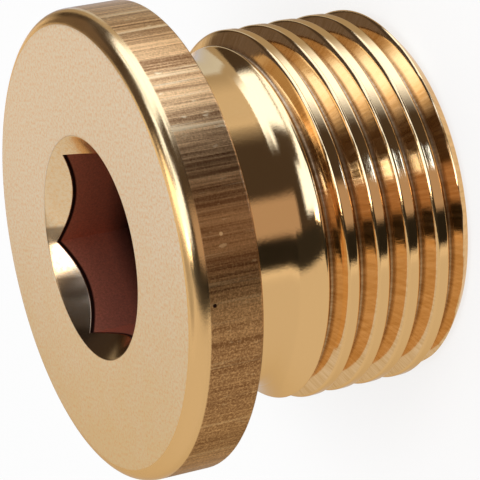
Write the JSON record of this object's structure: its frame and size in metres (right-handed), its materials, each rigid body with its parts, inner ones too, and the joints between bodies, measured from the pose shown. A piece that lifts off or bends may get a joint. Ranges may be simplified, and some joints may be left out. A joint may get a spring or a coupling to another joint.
{
  "type": "hex socket plug",
  "caption": "Brass hexagon-socket screw plug: thick round collar with a flat sealing face under it, turned neck, and a right-handed parallel pipe thread.",
  "frame": {"origin": "centre of the sealing face, the flat ring under the collar", "axes": "+Z along the screw axis, head up; +X through a corner of the hexagon socket, so two of its flats face +Y and -Y"},
  "size_m": [0.026, 0.026, 0.018],
  "materials": {
    "brass": "bright turned, thread polished, head face fine satin"
  },
  "bodies": {
    "root": {"screw_plug": "brass"}
  },
  "joints": []
}
